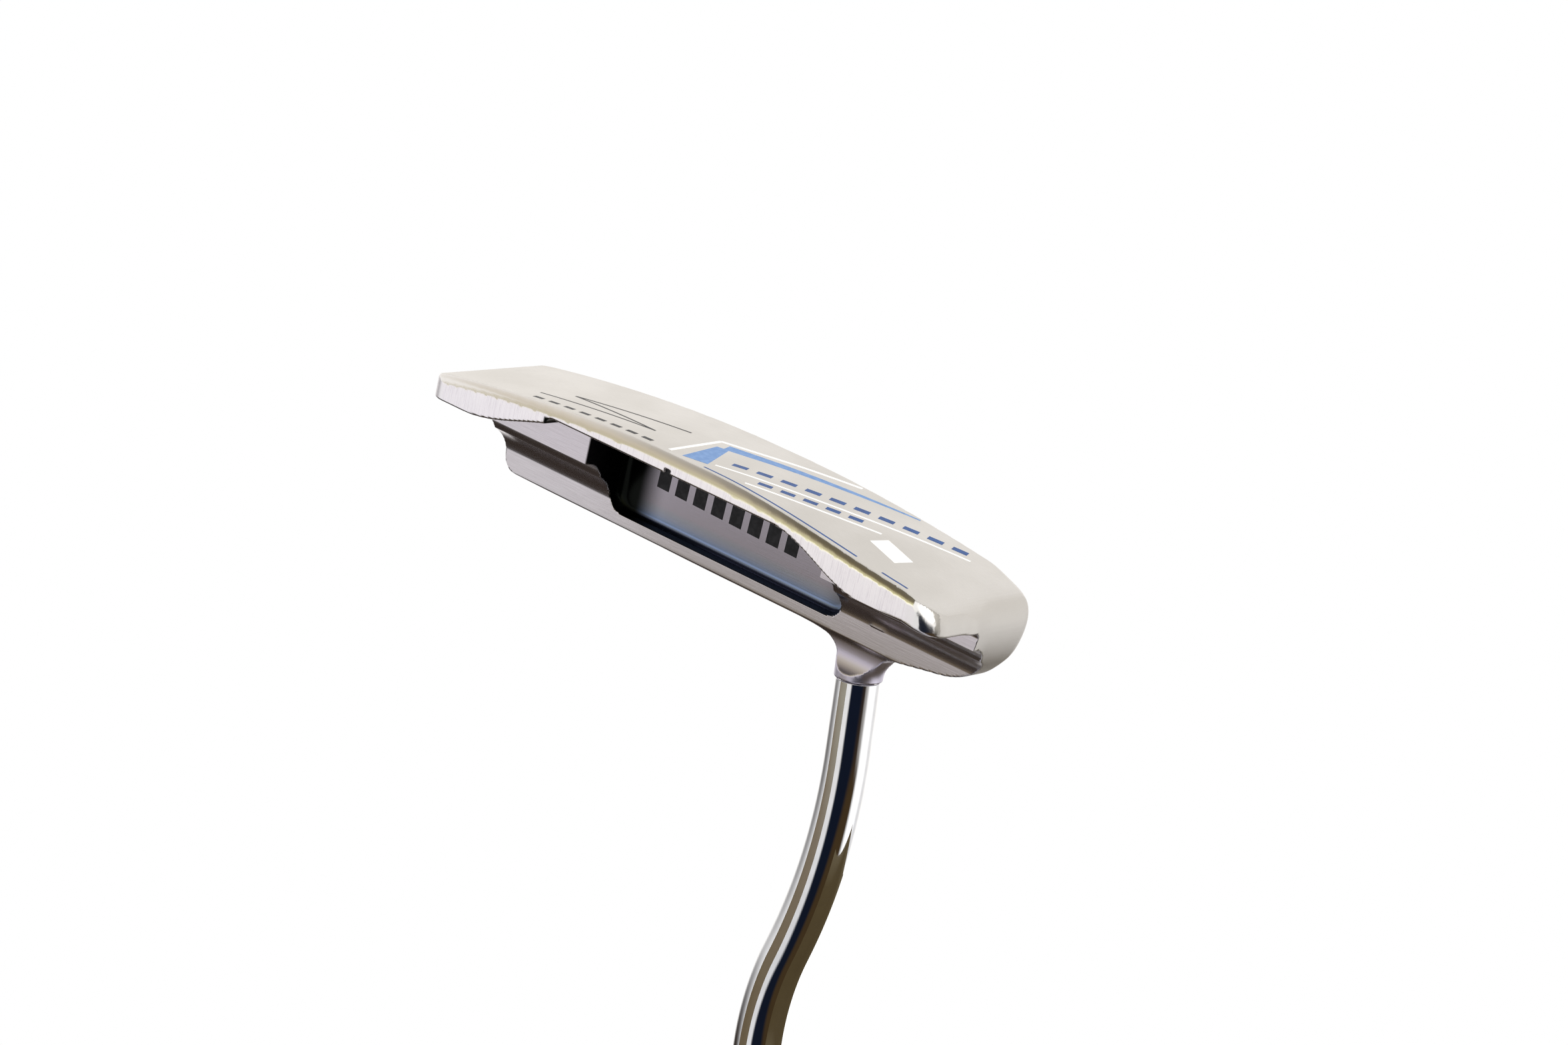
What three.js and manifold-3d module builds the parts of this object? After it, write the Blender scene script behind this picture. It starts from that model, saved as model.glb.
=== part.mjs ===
// Blade putter: one-piece milled head with a short neck and a hidden post, double-bend steel shaft
// bonded over the post, rubber grip on tape, butt cap, and paint set into shallow engraving.
// Units mm. +X toe, +Y target (face normal), +Z up. Shapes are drawn with y = 0 on the leading edge
// and then moved forward, so the origin is where the middle of the sole rests on the ground.
import * as THREE from 'three';
import { mergeVertices } from 'three/addons/utils/BufferGeometryUtils.js';
import Module from 'manifold-3d';

const wasm = await Module();
wasm.setup();

const ORIGIN_BACK = 5;            // origin to leading edge

// ---- head ----
const SOLE_RADIUS = 404;          // heel-to-toe camber
const FLAT_HALF = 8;              // half width of the flat facet in the middle of the sole
const TOE_X = 66.3;               // at the bumper; the toe leans in towards the topline
const TOE_TOP_X = 64.2;
const HEEL_X = -64.8;
const DEPTH = 31.05;              // face to rear rim
const TOPLINE_Z = 27.1;
const TOPLINE_BACK_Y = -7.3;
const LOFT = 3;                   // degrees
const BEVEL = { back: 1.35, up: 1.75 };
const STEP_1 = { y: -16.5, z: 14.6 };
const STEP_2 = { y: -11.15, z: 17.9 };
const BAND_Z = 22.4;              // lower edge of the topline band
const COVE_LEAN = [22, 15];       // slope from upright where each cove meets its upper ridge
const FLANGE_Z = 3.6;             // top of the thin middle of the flange
const BUMPER_Z = 10;              // top of the heel and toe bumpers
const HEEL_LIP = 1.8;             // how much the heel bumper climbs at its outer end
const POCKET = { heel: -26.8, toe: 34.6, wall: -4.6, top: 25.05, corner: 4.4, fillet: 2 };
const SIGHT = { x: 2.2, width: 1.3, length: 7, depth: 0.9 };

// ---- neck, shaft, grip ----
const NECK = { x: -30.7, y: -3.5, z: 26.6, radius: 4.7, top: 8, lean: 6.5 };
const POST = { radius: 3.05, length: 24 };
const GAP = 0.3;
const TIP_RADIUS = 4.35;
const SHAFT_WALL = 0.55;
const BEND_1 = { start: 14, radius: 120, end: 14 };
const BEND_2 = { run: 1.6, radius: 60, end: -20 };
const SHAFT_STEPS = { first: 190, pitch: 36, count: 9, rise: 0.28 };
const CLUB_LENGTH = 889;          // along the upper shaft axis, ground to butt
const BUTT_RADIUS = 7.35;
const TAPE = { inner: 7.6, outer: 7.8 };
const GRIP = { length: 267, bore: 8.05, lip: 0.8 };
const CAP = { thickness: 3.2, spigot: 4.5, hole: 1.6 };
const ROUND = 28;                 // facets round the shaft
const INK = { over: 0.12, thick: 0.25, under: 0.12, side: 0.1, hairline: 0.3 };

const rad = THREE.MathUtils.degToRad;
const camber = (x) => Math.max(0, (x * x - FLAT_HALF * FLAT_HALF) / (2 * SOLE_RADIUS));

// ---- solid helpers ----
function toManifold(geometry) {
  const g = geometry.clone();
  g.deleteAttribute('normal');
  g.deleteAttribute('uv');
  const m = mergeVertices(g, 1e-4);
  const mesh = new wasm.Mesh({
    numProp: 3,
    vertProperties: new Float32Array(m.attributes.position.array),
    triVerts: new Uint32Array(m.index.array),
  });
  return new wasm.Manifold(mesh);
}

function toGeometry(solid) {
  const mesh = solid.getMesh();
  const g = new THREE.BufferGeometry();
  g.setAttribute('position', new THREE.BufferAttribute(new Float32Array(mesh.vertProperties), 3));
  g.setIndex(new THREE.BufferAttribute(new Uint32Array(mesh.triVerts), 1));
  const flat = g.toNonIndexed();
  flat.computeVertexNormals();
  return flat;
}

function path(points) {
  const s = new THREE.Shape();
  points.forEach(([a, b], i) => (i ? s.lineTo(a, b) : s.moveTo(a, b)));
  s.closePath();
  return s;
}

function extrude(shape, depth, curveSegments = 10) {
  return new THREE.ExtrudeGeometry(shape, { depth, bevelEnabled: false, curveSegments, steps: 1 });
}

// Shape drawn in X-Z, solid from y = yFront back to y = yBack.
function prismXZ(shape, yFront, yBack) {
  const g = extrude(shape, yFront - yBack);
  g.rotateX(Math.PI / 2);
  g.translate(0, yFront, 0);
  return toManifold(g);
}

// Shape drawn in Y-Z, solid from x0 to x1.
function prismYZ(shape, x0, x1) {
  const g = extrude(shape, x1 - x0);
  const m = new THREE.Matrix4().set(0, 0, 1, x0, 1, 0, 0, 0, 0, 1, 0, 0, 0, 0, 0, 1);
  g.applyMatrix4(m);
  return toManifold(g);
}

// Shape drawn in X-Y, solid from z0 to z1.
function prismXY(shape, z0, z1) {
  const g = extrude(shape, z1 - z0);
  g.translate(0, 0, z0);
  return toManifold(g);
}

// Quarter-circle samples between two angles, in degrees.
function arc(cx, cy, r, from, to, n = 5) {
  return Array.from({ length: n + 1 }, (_, i) => {
    const a = rad(from + ((to - from) * i) / n);
    return [cx + r * Math.cos(a), cy + r * Math.sin(a)];
  });
}

// Solid tube or bar: rings of points along stations, outer wall then optional inner wall.
function loft(rings, closeAsTube) {
  const n = rings[0].length;
  const position = rings.flat().flatMap((p) => [p.x, p.y, p.z]);
  const index = [];
  const last = closeAsTube ? rings.length : rings.length - 1;
  for (let i = 0; i < last; i += 1) {
    const a = i * n;
    const b = ((i + 1) % rings.length) * n;
    for (let j = 0; j < n; j += 1) {
      const k = (j + 1) % n;
      index.push(a + j, a + k, b + k, a + j, b + k, b + j);
    }
  }
  if (!closeAsTube) {
    const end = (rings.length - 1) * n;
    for (let j = 1; j < n - 1; j += 1) {
      index.push(0, j + 1, j, end, end + j, end + j + 1);
    }
  }
  const g = new THREE.BufferGeometry();
  g.setAttribute('position', new THREE.Float32BufferAttribute(position, 3));
  g.setIndex(index);
  return g;
}

// ---- head ----
function solePoints(x0, x1, n) {
  const xs = Array.from({ length: n + 1 }, (_, i) => x0 + ((x1 - x0) * i) / n);
  return xs.map((x) => [x, camber(x)]);
}

function sideOutline() {
  const heel = [
    [-56, 3.75], [-60.4, 4.9], [-63.2, 6.75], [-64.8, 9.3], [HEEL_X, 12.6], [-63.6, 16.2],
    [-61.4, 19.8], [-58.3, 22.9], [-54.1, 24.9], [-48, 26], [-41, 26.9],
  ].reverse();
  const topToe = arc(TOE_TOP_X - 3.6, TOPLINE_Z - 3.95, 3.6, 90, 0);
  return path([
    ...solePoints(-FLAT_HALF - 40, -FLAT_HALF, 6),
    ...solePoints(FLAT_HALF, FLAT_HALF + 54, 8),
    ...arc(TOE_X - 2.2, camber(TOE_X) + 1.9, 2.2, -70, 0, 4),
    [TOE_X, BUMPER_Z],
    ...topToe.reverse(),
    [50, TOPLINE_Z - 0.25], [5, TOPLINE_Z], [-36, TOPLINE_Z],
    ...heel,
  ]);
}

function planOutline() {
  return path([
    ...arc(HEEL_X + 2.6, -2.6, 2.6, 90, 180),
    ...arc(HEEL_X + 6, -DEPTH + 6, 6, 180, 270, 8),
    ...arc(TOE_X - 4.2, -DEPTH + 4.2, 4.2, 270, 360),
    ...arc(TOE_X - 1.6, -1.6, 1.6, 0, 90),
  ]);
}

// Hollow arc from a lower ridge p to an upper ridge q, ending at a lean from upright.
function cove(p, q, lean) {
  const a = rad(lean);
  const [dy, dz] = [q.y - p.y, q.z - p.z];
  const r = (dy * dy + dz * dz) / (2 * (dy * Math.cos(a) - dz * Math.sin(a)));
  const [cy, cz] = [q.y - r * Math.cos(a), q.z + r * Math.sin(a)];
  return arc(cy, cz, r, THREE.MathUtils.radToDeg(Math.atan2(p.z - cz, p.y - cy)), -lean);
}

// Staircase behind the topline: everything to be milled away, seen from the end.
function stairCut() {
  return path([
    [-40, BUMPER_Z + HEEL_LIP], [STEP_1.y, BUMPER_Z + HEEL_LIP],
    ...cove(STEP_1, STEP_2, COVE_LEAN[0]),
    ...cove(STEP_2, { y: TOPLINE_BACK_Y, z: BAND_Z }, COVE_LEAN[1]),
    [TOPLINE_BACK_Y, 40], [-40, 40],
  ]);
}

// Rear flange: thin in the middle, rising in an S to each bumper.
function waveCut() {
  const rise = (from, to) => Array.from({ length: 9 }, (_, i) => {
    const t = i / 8;
    const s = t * t * (3 - 2 * t);
    return [from + (to - from) * t, FLANGE_Z + (BUMPER_Z - FLANGE_Z) * s];
  });
  return path([
    [-70, 40], [-70, BUMPER_Z + HEEL_LIP], [-57, BUMPER_Z],
    ...rise(-24.2, -47.2).reverse(),
    ...rise(25, 56),
    [70, BUMPER_Z], [70, 40],
  ]);
}

function pocketCut() {
  const { heel, toe, wall, top, corner, fillet } = POCKET;
  const section = path([
    [-40, FLANGE_Z],
    ...arc(wall - 4, FLANGE_Z + 4, 4, -90, 0),
    ...arc(wall - fillet, top - fillet, fillet, 0, 90),
    [-40, top],
  ]);
  const face = path([
    [heel, 0], [toe, 0],
    ...arc(toe - corner, top - corner, corner, 0, 90),
    ...arc(heel + corner, top - corner, corner, 90, 180),
  ]);
  return prismYZ(section, heel - 1, toe + 1).intersect(prismXZ(face, 0, -40));
}

// Rolled lower rear edge, following the camber of the sole.
function bevelCut() {
  const section = [[-DEPTH + BEVEL.back, -0.02], [-DEPTH + 0.45, 0.65], [-DEPTH, BEVEL.up],
    [-DEPTH - 4, BEVEL.up + 2], [-DEPTH - 4, -6], [-DEPTH + BEVEL.back, -6]];
  const xs = [...solePoints(-72, -FLAT_HALF, 10), ...solePoints(FLAT_HALF, 72, 10)];
  const rings = xs.map(([x, z]) => section.map(([y, dz]) => new THREE.Vector3(x, y, z + dz)));
  return toManifold(loft(rings, false));
}

const neckAxis = new THREE.Vector3(-Math.sin(rad(NECK.lean)), 0, Math.cos(rad(NECK.lean)));
const neckBase = new THREE.Vector3(NECK.x, NECK.y, NECK.z);

function ring(centre, tangent, radius, n = ROUND) {
  const side = new THREE.Vector3(0, 1, 0);
  const other = new THREE.Vector3().crossVectors(side, tangent).normalize();
  return Array.from({ length: n }, (_, i) => {
    const a = (2 * Math.PI * i) / n;
    return centre.clone()
      .addScaledVector(other, radius * Math.cos(a))
      .addScaledVector(side, radius * Math.sin(a));
  });
}

function neck() {
  const at = (s, r) => ring(neckBase.clone().addScaledVector(neckAxis, s), neckAxis, r);
  const shoulder = NECK.radius - 0.25;
  const rings = [
    at(-6, NECK.radius), at(NECK.top - 0.3, NECK.radius), at(NECK.top, shoulder),
    at(NECK.top, POST.radius), at(NECK.top + POST.length - 0.8, POST.radius),
    at(NECK.top + POST.length, POST.radius - 0.7),
  ];
  return toManifold(loft(rings, false));
}

// Flared root of the neck, blending into the topline on the heel and toe sides.
function neckRoot() {
  const top = TOPLINE_Z;
  const flare = path([
    [-46, top - 5], [-44.5, top - 0.3], [-41, top + 0.5], [-38.6, top + 1.8], [-36.8, top + 5],
    [-27.2, top + 4.8], [-26.3, top + 1.6], [-23.5, top + 0.7], [-17.5, top - 0.1], [-17, top - 5],
  ]);
  const section = path([
    [-7.28, top - 3], [-7.28, top + 0.9], [-6.6, top + 2.4], [-6.6, top + 5],
    [-2.2, top + 5], [-1.9, top + 2.4], [-1.48, top + 0.9], [-1.3, top - 3],
  ]);
  return prismXZ(flare, 3, -9).intersect(prismYZ(section, -50, -10));
}

// ---- engraving and paint ----
// Thin layer following the sole, between two depths above it.
function soleLayer(from, to) {
  const lower = [...solePoints(-60, -FLAT_HALF, 13), ...solePoints(FLAT_HALF, 60, 13)];
  const upper = lower.map(([x, z]) => [x, z + to]).reverse();
  return prismXZ(path([...lower.map(([x, z]) => [x, z + from]), ...upper]), 1, -40);
}

// Bar between two points in the sole plane; the width may taper from one end to the other.
function bar([x0, y0], [x1, y1], width, grow = 0) {
  const [w0, w1] = [width].flat().length === 2 ? width : [width, width];
  const d = new THREE.Vector2(x1 - x0, y1 - y0).normalize();
  const n = new THREE.Vector2(-d.y, d.x);
  const a = n.clone().multiplyScalar(w0 / 2 + grow);
  const b = n.clone().multiplyScalar(w1 / 2 + grow);
  d.multiplyScalar(grow);
  return path([
    [x0 - d.x - a.x, y0 - d.y - a.y], [x1 + d.x - b.x, y1 + d.y - b.y],
    [x1 + d.x + b.x, y1 + d.y + b.y], [x0 - d.x + a.x, y0 - d.y + a.y],
  ]);
}

// Evenly spaced dashes along a line, tied together by a hairline.
function dashes(from, to, count, fill, width) {
  const a = new THREE.Vector2(...from);
  const b = new THREE.Vector2(...to);
  const marks = Array.from({ length: count }, (_, i) => {
    const p = a.clone().lerp(b, i / count);
    const q = a.clone().lerp(b, (i + fill) / count);
    return [[p.x, p.y], [q.x, q.y], width];
  });
  const last = marks[count - 1][1];
  return [...marks, [from, last, INK.hairline]];
}

// Joined bars through a list of points.
function strokes(points, width) {
  return points.slice(1).map((q, i) => [points[i], q, width]);
}

// Paint on the sole: each entry is one piece, made of bars in the sole plane.
const SOLE_PAINT = [
  { name: 'paint_line_long', colour: 0xf7f7f4, bars: [[[-4, -25.1], [-51.3, -5.5], 0.6]] },
  { name: 'paint_line_short', colour: 0xf7f7f4, bars: [[[-12.9, -26.6], [-37.8, -15.7], 0.6]] },
  {
    name: 'paint_outline_white',
    colour: 0xf7f7f4,
    bars: strokes([[5.2, -28], [6.3, -12], [-21, -1.6]], 0.9),
  },
  { name: 'paint_lozenge_white', colour: 0xf7f7f4, bars: [[[-39.6, -18.4], [-47.6, -20.6], 4.2]] },
  { name: 'pinstripe_long', colour: 0x1f3f6d, bars: [[[-4.2, -28.5], [-42.8, -28.5], 0.5]] },
  { name: 'pinstripe_short', colour: 0x1f3f6d, bars: [[[-49, -28.5], [-55.2, -28.5], 0.5]] },
  {
    name: 'paint_band_blue',
    colour: 0x4f76ad,
    bars: [[[-0.6, -27.2], [3, -15.2], [5.4, 2.6]], [[3.2, -13.9], [-35.5, -1.4], [3.2, 0.5]]],
  },
  { name: 'dashes_long_blue', colour: 0x1f3f6d, bars: dashes([-4.6, -20.8], [-50.8, -2.8], 10, 0.62, 1.7) },
  { name: 'dashes_short_blue', colour: 0x1f3f6d, bars: dashes([-13.6, -23.6], [-34.4, -14.6], 5, 0.62, 1.5) },
  { name: 'dashes_black', colour: 0x1a1a1a, bars: dashes([41.5, -27.4], [8.6, -27.4], 8, 0.6, 1.1) },
  {
    name: 'flourish_black',
    colour: 0x3a3a3a,
    bars: strokes([[43.5, -23.6], [15, -21.4], [39, -18.4], [12, -14.4]], 0.5),
  },
];
const CAVITY_PAINT = dashes([25.5, 14.6], [-13.5, 15.6], 8, 0.66, 4.4);

function union(solids) {
  return solids.reduce((a, b) => a.add(b));
}

function solePaint(bars) {
  const plan = union(bars.map(([p, q, w]) => prismXY(bar(p, q, w), -1, 12)));
  return plan.intersect(soleLayer(INK.over, INK.over + INK.thick));
}

function soleEngraving(bars) {
  const plan = union(bars.map(([p, q, w]) => prismXY(bar(p, q, w, INK.side), -1, 12)));
  return plan.intersect(soleLayer(-1, INK.over + INK.thick + INK.under));
}

function cavityBars(bars, grow, yFront, yBack) {
  return union(bars.map(([p, q, w]) => prismXZ(bar(p, q, w, grow), yFront, yBack)));
}

const inkFloor = POCKET.wall + INK.over + INK.thick + INK.under;
const sightSlot = (grow) => path([
  [SIGHT.x - SIGHT.width / 2 - grow, -DEPTH + 0.6 - grow * 20],
  [SIGHT.x + SIGHT.width / 2 + grow, -DEPTH + 0.6 - grow * 20],
  [SIGHT.x + SIGHT.width / 2 + grow, -DEPTH + SIGHT.length + grow],
  [SIGHT.x - SIGHT.width / 2 - grow, -DEPTH + SIGHT.length + grow],
]);

function head() {
  const side = prismXZ(sideOutline(), 0, -DEPTH);
  const plan = prismXY(planOutline(), -2, 40);
  const loftY = -TOPLINE_Z * 1.5 * Math.tan(rad(LOFT));
  const face = prismYZ(path([[0, 0], [loftY, TOPLINE_Z * 1.5], [-40, TOPLINE_Z * 1.5], [-40, 0]]), -70, 70);
  const engraved = union([
    ...SOLE_PAINT.map(({ bars }) => soleEngraving(bars)),
    cavityBars(CAVITY_PAINT, INK.side, inkFloor, POCKET.wall - 1),
    prismXY(sightSlot(INK.side), FLANGE_Z - SIGHT.depth, FLANGE_Z + 1),
  ]);
  return side.intersect(plan).intersect(face)
    .subtract(prismYZ(stairCut(), -80, 80))
    .subtract(prismXZ(waveCut(), STEP_1.y, -40))
    .subtract(pocketCut())
    .subtract(bevelCut())
    .add(neckRoot())
    .add(neck())
    .subtract(engraved);
}

// ---- shaft centreline: neck, bend towards the toe, bend back to the playing lie ----
function shaftStations() {
  const list = [];
  const p = neckBase.clone().addScaledVector(neckAxis, NECK.top + GAP);
  let angle = -NECK.lean;
  let s = 0;
  const dir = (a) => new THREE.Vector3(Math.sin(rad(a)), 0, Math.cos(rad(a)));
  const mark = () => list.push({ point: p.clone(), tangent: dir(angle), s });
  const straight = (length) => {
    p.addScaledVector(dir(angle), length);
    s += length;
    mark();
  };
  const bend = (radius, to, n) => {
    const turn = (to - angle) / n;
    for (let i = 0; i < n; i += 1) {
      const chord = 2 * radius * Math.sin(rad(Math.abs(turn) / 2));
      p.addScaledVector(dir(angle + turn / 2), chord);
      angle += turn;
      s += radius * rad(Math.abs(turn));
      mark();
    }
  };
  mark();
  straight(BEND_1.start);
  bend(BEND_1.radius, BEND_1.end, 8);
  straight(BEND_2.run);
  bend(BEND_2.radius, BEND_2.end, 12);
  const d = dir(angle);
  const buttZ = CLUB_LENGTH * Math.cos(rad(-BEND_2.end)) - CAP.thickness - CAP.spigot - 1;
  const total = s + (buttZ - p.z) / d.z;
  for (let i = 0; i < SHAFT_STEPS.count; i += 1) {
    const at = SHAFT_STEPS.first + i * SHAFT_STEPS.pitch;
    straight(at - s);
    straight(2.4);
  }
  straight(total - s);
  return list;
}

function shaftRadius(s) {
  const slope = Math.min(s, 90) * 0.0055;
  const { first, pitch, count, rise } = SHAFT_STEPS;
  const passed = Math.min(count, Math.max(0, Math.floor((s - first - 1.2) / pitch) + 1));
  const grown = TIP_RADIUS + slope + passed * rise;
  return Math.min(BUTT_RADIUS, grown);
}

const stations = shaftStations();
const upper = stations[stations.length - 1];

function shaft() {
  const outer = stations.map(({ point, tangent, s }) => ring(point, tangent, shaftRadius(s)));
  const inner = stations.map(({ point, tangent, s }) => (
    ring(point, tangent, shaftRadius(s) - SHAFT_WALL)));
  return loft([...outer, ...inner.reverse()], true);
}

function sleeve(centre, axis, lengthFrom, lengthTo, inner, outer) {
  const at = (s, r) => ring(centre.clone().addScaledVector(axis, s), axis, r);
  return loft([at(lengthFrom, outer), at(lengthTo, outer), at(lengthTo, inner), at(lengthFrom, inner)], true);
}

// ---- grip: flat on the thumb side, rounded behind, pistol swell near the butt ----
const gripAxis = upper.tangent;
const butt = upper.point.clone().addScaledVector(gripAxis, CAP.spigot + 1);
const thumb = new THREE.Vector3(gripAxis.z, 0, -gripAxis.x);
const across = new THREE.Vector3(0, 1, 0);

function gripRing(s, width, front, back) {
  const centre = butt.clone().addScaledVector(gripAxis, s);
  return Array.from({ length: ROUND }, (_, i) => {
    const a = (2 * Math.PI * i) / ROUND;
    const c = Math.cos(a);
    const t = Math.sin(a);
    const flat = t > 0 ? Math.sign(c) * Math.abs(c) ** 0.55 : c;
    const deep = t > 0 ? front * t ** 0.45 : back * t;
    return centre.clone()
      .addScaledVector(across, (width / 2) * flat)
      .addScaledVector(thumb, deep);
  });
}

function gripProfile(t) {
  const swell = Math.exp(-(((t - 0.12) / 0.16) ** 2));
  return {
    width: 18.6 + 6.6 * (1 - t) ** 0.8,
    front: 9 + 1.4 * (1 - t),
    back: 9.2 + 3.4 * (1 - t) + 2.4 * swell,
  };
}

function grip() {
  const n = 20;
  const rings = [];
  for (let i = 0; i <= n; i += 1) {
    const { width, front, back } = gripProfile(i / n);
    rings.push(gripRing((-GRIP.length * i) / n, width, front, back));
  }
  const end = -GRIP.length;
  const at = (s) => ringOnGrip(s, GRIP.bore);
  return loft([...rings, at(end), at(0)], true);
}

function ringOnGrip(s, radius) {
  const centre = butt.clone().addScaledVector(gripAxis, s);
  return Array.from({ length: ROUND }, (_, i) => {
    const a = (2 * Math.PI * i) / ROUND;
    return centre.clone()
      .addScaledVector(across, radius * Math.cos(a))
      .addScaledVector(thumb, radius * Math.sin(a));
  });
}

function cap() {
  const { width, front, back } = gripProfile(0);
  const scaled = (s, k) => gripRing(s, width * k, front * k, back * k);
  const base = GAP;
  return loft([
    ringOnGrip(-CAP.spigot, CAP.hole), ringOnGrip(-CAP.spigot, GRIP.bore - GAP),
    ringOnGrip(base, GRIP.bore - GAP), scaled(base, 1), scaled(CAP.thickness - 1.1, 0.985),
    scaled(CAP.thickness - 0.3, 0.93), scaled(CAP.thickness, 0.86), ringOnGrip(CAP.thickness, CAP.hole),
  ], true);
}

// ---- assembly ----
const group = new THREE.Group();
group.name = 'blade_putter';

function outward(geometry) {
  const g = geometry.index ? geometry.clone() : mergeVertices(geometry);
  const p = g.attributes.position;
  const idx = g.index.array;
  const [a, b, c] = [new THREE.Vector3(), new THREE.Vector3(), new THREE.Vector3()];
  let volume = 0;
  for (let i = 0; i < idx.length; i += 3) {
    a.fromBufferAttribute(p, idx[i]);
    b.fromBufferAttribute(p, idx[i + 1]);
    c.fromBufferAttribute(p, idx[i + 2]);
    volume += a.dot(b.cross(c));
  }
  if (volume < 0) {
    for (let i = 0; i < idx.length; i += 3) {
      [idx[i + 1], idx[i + 2]] = [idx[i + 2], idx[i + 1]];
    }
  }
  const flat = g.toNonIndexed();
  flat.computeVertexNormals();
  return flat;
}

function add(name, geometry, color, roughness, metalness) {
  const material = new THREE.MeshStandardMaterial({ color, roughness, metalness });
  const mesh = new THREE.Mesh(geometry.translate(0, ORIGIN_BACK, 0), material);
  mesh.name = name;
  group.add(mesh);
}

const postBase = neckBase.clone().addScaledVector(neckAxis, NECK.top);
add('putter_head', toGeometry(head()), 0xb9b2ae, 0.35, 1);
add('shaft', outward(shaft()), 0xd5d7da, 0.06, 1);
add('hosel_bond', outward(sleeve(postBase, neckAxis, 1, 13, POST.radius + 0.2, TIP_RADIUS - SHAFT_WALL - 0.2)),
  0x6f6a52, 0.6, 0);
add('grip_tape', outward(sleeve(upper.point, gripAxis, -GRIP.length + 12, -1, TAPE.inner, TAPE.outer)),
  0xcabf9a, 0.8, 0);
add('grip', outward(grip()), 0x16171a, 0.75, 0);
add('grip_cap', outward(cap()), 0x101113, 0.65, 0);
SOLE_PAINT.forEach(({ name, colour, bars }) => {
  add(name, toGeometry(solePaint(bars)), colour, 0.42, 0);
});
add('cavity_dashes_black',
  toGeometry(cavityBars(CAVITY_PAINT, 0, POCKET.wall + INK.over + INK.thick, POCKET.wall + INK.over)),
  0x141416, 0.4, 0);
const sightPaint = prismXY(sightSlot(0), FLANGE_Z - SIGHT.depth + INK.under, FLANGE_Z - INK.over);
add('sight_line', toGeometry(sightPaint),
  0x15161a, 0.45, 0);

export default group;
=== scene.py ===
import math
import bpy
import numpy as np
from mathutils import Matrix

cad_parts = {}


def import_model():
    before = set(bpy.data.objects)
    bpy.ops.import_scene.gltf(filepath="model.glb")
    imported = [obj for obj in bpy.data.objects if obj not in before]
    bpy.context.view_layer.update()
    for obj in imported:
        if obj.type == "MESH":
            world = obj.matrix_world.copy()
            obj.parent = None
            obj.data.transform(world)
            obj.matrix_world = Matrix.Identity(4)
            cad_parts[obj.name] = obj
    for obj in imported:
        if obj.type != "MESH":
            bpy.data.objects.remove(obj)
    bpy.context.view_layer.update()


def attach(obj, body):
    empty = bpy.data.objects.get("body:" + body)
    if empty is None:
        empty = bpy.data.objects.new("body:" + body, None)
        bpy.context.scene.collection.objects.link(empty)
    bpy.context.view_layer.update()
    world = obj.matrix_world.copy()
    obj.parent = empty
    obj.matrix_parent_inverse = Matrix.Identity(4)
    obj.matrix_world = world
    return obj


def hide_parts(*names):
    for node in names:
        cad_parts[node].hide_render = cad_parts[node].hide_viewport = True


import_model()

import openvdb
from mathutils import Matrix, Vector

MM = 0.001
FORWARD = 5.0          # the drawing's leading edge lies this far in front of the origin, in mm


# ------------------------------------------------------------------ helpers
def lerp(a, b, t):
    return a + (b - a) * t


def smooth(a, b, x):
    t = np.clip((x - a) / (b - a), 0, 1)
    return t * t * (3 - 2 * t)


def arc(cx, cy, r, a0, a1, n=10):
    return [(cx + r * math.cos(math.radians(lerp(a0, a1, i / n))),
             cy + r * math.sin(math.radians(lerp(a0, a1, i / n)))) for i in range(n + 1)]


def spline(points, n=6):
    """Catmull-Rom samples through the points."""
    p = [points[0]] + list(points) + [points[-1]]
    out = []
    for i in range(1, len(p) - 2):
        a, b, c, d = (np.array(q, float) for q in p[i - 1:i + 3])
        for k in range(n):
            t = k / n
            out.append(tuple(0.5 * ((2 * b) + (c - a) * t + (2 * a - 5 * b + 4 * c - d) * t * t
                                    + (3 * b - a - 3 * c + d) * t ** 3)))
    return out + [tuple(points[-1])]


def poly(a, b, points):
    """Signed distance in a plane to a closed polygon, negative inside."""
    a, b = np.broadcast_arrays(np.asarray(a, np.float32), np.asarray(b, np.float32))
    best = np.full(a.shape, 1e9, np.float32)
    inside = np.zeros(a.shape, bool)
    for i in range(len(points)):
        (x0, y0), (x1, y1) = points[i], points[(i + 1) % len(points)]
        ex, ey = x1 - x0, y1 - y0
        length = ex * ex + ey * ey
        if length < 1e-12:
            continue
        wx, wy = a - x0, b - y0
        t = np.clip((wx * ex + wy * ey) / length, 0, 1)
        best = np.minimum(best, (wx - ex * t) ** 2 + (wy - ey * t) ** 2)
        crosses = (y0 > b) != (y1 > b)
        inside ^= crosses & (a < ex * (b - y0) / (ey if abs(ey) > 1e-12 else 1e-12) + x0)
    return np.where(inside, -1, 1) * np.sqrt(best)


def both(a, b, r):
    """Intersection with a rounded edge."""
    return np.minimum(-r, np.maximum(a, b)) + np.hypot(np.maximum(r + a, 0), np.maximum(r + b, 0))


def join(a, b, r):
    """Union with a rounded inside corner."""
    return np.maximum(r, np.minimum(a, b)) - np.hypot(np.maximum(r - a, 0), np.maximum(r - b, 0))


def new_object(name, verts, faces, node=None, material=None, shade=True):
    mesh = bpy.data.meshes.new(name)
    v = np.asarray(verts, np.float64) + np.array([0, FORWARD, 0])
    mesh.from_pydata((v * MM).tolist(), [], faces if isinstance(faces, list) else faces.tolist())
    mesh.update()
    if shade:
        mesh.shade_smooth()
    obj = bpy.data.objects.new(name, mesh)
    bpy.context.scene.collection.objects.link(obj)
    if material:
        mesh.materials.append(material)
    if node:
        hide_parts(*([node] if isinstance(node, str) else node))
        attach(obj, "root")
    return obj


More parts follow.
